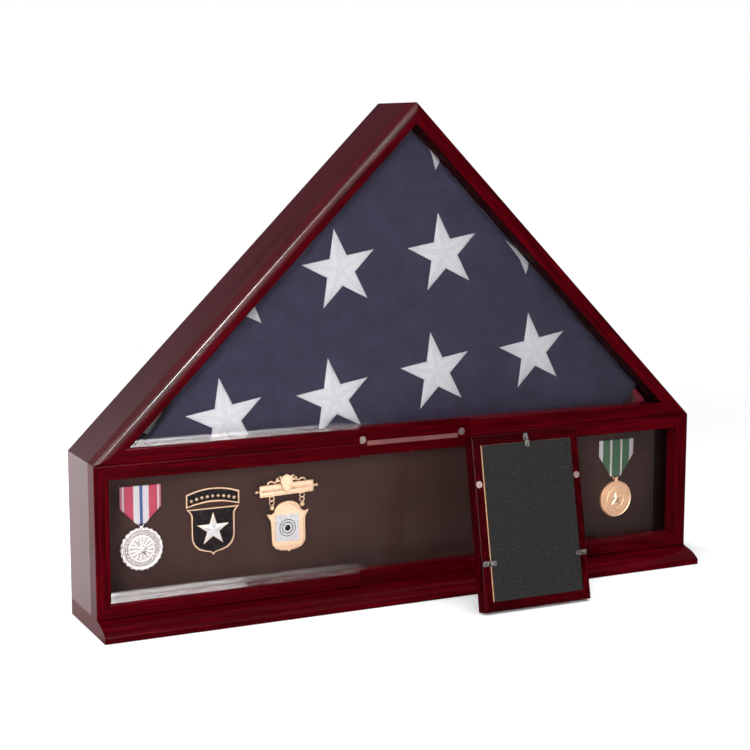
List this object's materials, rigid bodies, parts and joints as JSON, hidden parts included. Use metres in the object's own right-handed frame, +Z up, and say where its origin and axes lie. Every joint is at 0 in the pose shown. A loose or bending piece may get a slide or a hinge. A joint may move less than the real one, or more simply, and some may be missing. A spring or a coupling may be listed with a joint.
{
  "type": "folded flag display case",
  "caption": "Gabled wooden case with a triangular window for a folded flag, a long medal window below, a moulded base and a small picture frame leaning in front.",
  "frame": {"origin": "on the resting plane, on the case's middle line, half way between the face of the case and its back edge", "axes": "+Z up; +X to the viewer's right along the windows; +Y from the windows towards the back"},
  "size_m": [0.66, 0.1852, 0.491],
  "materials": {
    "cherry_wood": "dark cherry stain under gloss lacquer, fine open grain",
    "clear_glass": "clear float glass",
    "black_lining": "matt black lining",
    "plain_wood": "unfinished softwood",
    "hardboard": "black-brown faced hardboard",
    "dark_felt": "dark brown-black felt over board",
    "rough_felt": "thin pinkish-brown felt",
    "magnet_steel": "nickel plate",
    "flag_cloth": "woven navy cloth with white embroidered stars, red and white at the folded corners",
    "plated_steel": "zinc plate",
    "brass_plate": "brassed steel",
    "brooch_metal": "dull gilt",
    "red_ribbon": "ribbed silk ribbon, rose red with white and blue stripes",
    "green_ribbon": "ribbed silk ribbon, green with white stripes",
    "silver_metal": "bright silver",
    "bronze_metal": "pale antique bronze",
    "black_enamel": "black enamel",
    "gold_metal": "gilt",
    "white_enamel": "white enamel",
    "speckled_board": "black speckled paper on fibreboard, raw tan edges",
    "photo_paper": "plain photographic paper"
  },
  "bodies": {
    "case": {"base_board": "cherry_wood", "left_side_board": "cherry_wood", "right_side_board": "cherry_wood", "left_roof_board": "cherry_wood", "right_roof_board": "cherry_wood", "middle_shelf": "cherry_wood", "left_slope_rail": "cherry_wood", "right_slope_rail": "cherry_wood", "left_stile": "cherry_wood", "right_stile": "cherry_wood", "flag_window_sill": "cherry_wood", "medal_window_top_rail": "cherry_wood", "medal_window_bottom_rail": "cherry_wood", "rail_magnets": "magnet_steel", "rail_felt_strip": "rough_felt", "flag_window_glass": "clear_glass", "medal_window_glass": "clear_glass", "flag_glass_stops": "black_lining", "flag_back_cleats": "plain_wood", "compartment_lining": "black_lining", "medal_board_spacers": "plain_wood", "medal_board": "dark_felt", "flag_back_panel": "hardboard", "medal_back_panel": "hardboard", "folded_flag": "flag_cloth", "case_button_screws": "plated_steel", "medal_brooches": "brooch_metal", "service_medal_ribbon": "red_ribbon", "bronze_medal_ribbon": "green_ribbon", "shield_badge": "black_enamel", "shield_badge_trim": "gold_metal", "marksman_bar": "gold_metal", "marksman_rings": "gold_metal"},
    "picture_frame": {"picture_frame_bottom": "cherry_wood", "picture_frame_top": "cherry_wood", "picture_frame_left": "cherry_wood", "picture_frame_right": "cherry_wood", "picture_magnets": "magnet_steel", "picture_backing_board": "speckled_board", "picture_print": "photo_paper", "picture_glass": "clear_glass", "picture_button_screws": "plated_steel"},
    "picture_turn_button_top": {"picture_turn_button_top": "plated_steel"},
    "picture_turn_button_left": {"picture_turn_button_left": "plated_steel"},
    "picture_turn_button_right": {"picture_turn_button_right": "plated_steel"},
    "left_roof_button_low": {"left_roof_button_low": "brass_plate"},
    "right_roof_button_low": {"right_roof_button_low": "brass_plate"},
    "left_roof_button_high": {"left_roof_button_high": "brass_plate"},
    "right_roof_button_high": {"right_roof_button_high": "brass_plate"},
    "left_shelf_button": {"left_shelf_button": "brass_plate"},
    "left_base_button": {"left_base_button": "brass_plate"},
    "right_shelf_button": {"right_shelf_button": "brass_plate"},
    "right_base_button": {"right_base_button": "brass_plate"},
    "service_medal": {"service_medal_disc": "silver_metal", "service_medal_ring": "silver_metal"},
    "bronze_medal": {"bronze_medal_disc": "bronze_metal", "bronze_medal_ring": "bronze_metal"},
    "marksman_pendant": {"marksman_pendant": "gold_metal", "marksman_target": "white_enamel"}
  },
  "joints": [
    {"name": "picture_frame_lift", "type": "slide", "parent": "case", "child": "picture_frame", "axis": [0, 0, 1], "range_m": [0, 0.2]},
    {"name": "picture_turn_top", "type": "hinge", "parent": "picture_frame", "child": "picture_turn_button_top", "pos_m": [0.0875, -0.10694, 0.16601], "axis": [0, -0.9821, 0.1882], "continuous": true},
    {"name": "picture_turn_left", "type": "hinge", "parent": "picture_frame", "child": "picture_turn_button_left", "pos_m": [0.032, -0.1294, 0.04879], "axis": [0, -0.9821, 0.1882], "continuous": true},
    {"name": "picture_turn_right", "type": "hinge", "parent": "picture_frame", "child": "picture_turn_button_right", "pos_m": [0.143, -0.1294, 0.04879], "axis": [0, -0.9821, 0.1882], "continuous": true},
    {"name": "left_roof_turn_low", "type": "hinge", "parent": "case", "child": "left_roof_button_low", "pos_m": [-0.2458, 0.0438, 0.23862], "axis": [0, 1, 0], "continuous": true},
    {"name": "right_roof_turn_low", "type": "hinge", "parent": "case", "child": "right_roof_button_low", "pos_m": [0.2458, 0.0438, 0.23862], "axis": [0, 1, 0], "continuous": true},
    {"name": "left_roof_turn_high", "type": "hinge", "parent": "case", "child": "left_roof_button_high", "pos_m": [-0.09056, 0.0438, 0.39387], "axis": [0, 1, 0], "continuous": true},
    {"name": "right_roof_turn_high", "type": "hinge", "parent": "case", "child": "right_roof_button_high", "pos_m": [0.09056, 0.0438, 0.39387], "axis": [0, 1, 0], "continuous": true},
    {"name": "left_shelf_turn", "type": "hinge", "parent": "case", "child": "left_shelf_button", "pos_m": [-0.15, 0.0438, 0.161], "axis": [0, 1, 0], "continuous": true},
    {"name": "left_base_turn", "type": "hinge", "parent": "case", "child": "left_base_button", "pos_m": [-0.19, 0.0438, 0.008], "axis": [0, 1, 0], "continuous": true},
    {"name": "right_shelf_turn", "type": "hinge", "parent": "case", "child": "right_shelf_button", "pos_m": [0.15, 0.0438, 0.161], "axis": [0, 1, 0], "continuous": true},
    {"name": "right_base_turn", "type": "hinge", "parent": "case", "child": "right_base_button", "pos_m": [0.19, 0.0438, 0.008], "axis": [0, 1, 0], "continuous": true},
    {"name": "service_medal_swing", "type": "hinge", "parent": "case", "child": "service_medal", "pos_m": [-0.2727, -0.0007, 0.09212], "axis": [0, 1, 0], "range_deg": [-12, 12]},
    {"name": "bronze_medal_swing", "type": "hinge", "parent": "case", "child": "bronze_medal", "pos_m": [0.2673, -0.0007, 0.08872], "axis": [0, 1, 0], "range_deg": [-12, 12]},
    {"name": "marksman_pendant_swing", "type": "hinge", "parent": "case", "child": "marksman_pendant", "pos_m": [-0.1228, -0.0019, 0.10168], "axis": [-1, 0, 0], "range_deg": [0, 15]}
  ]
}
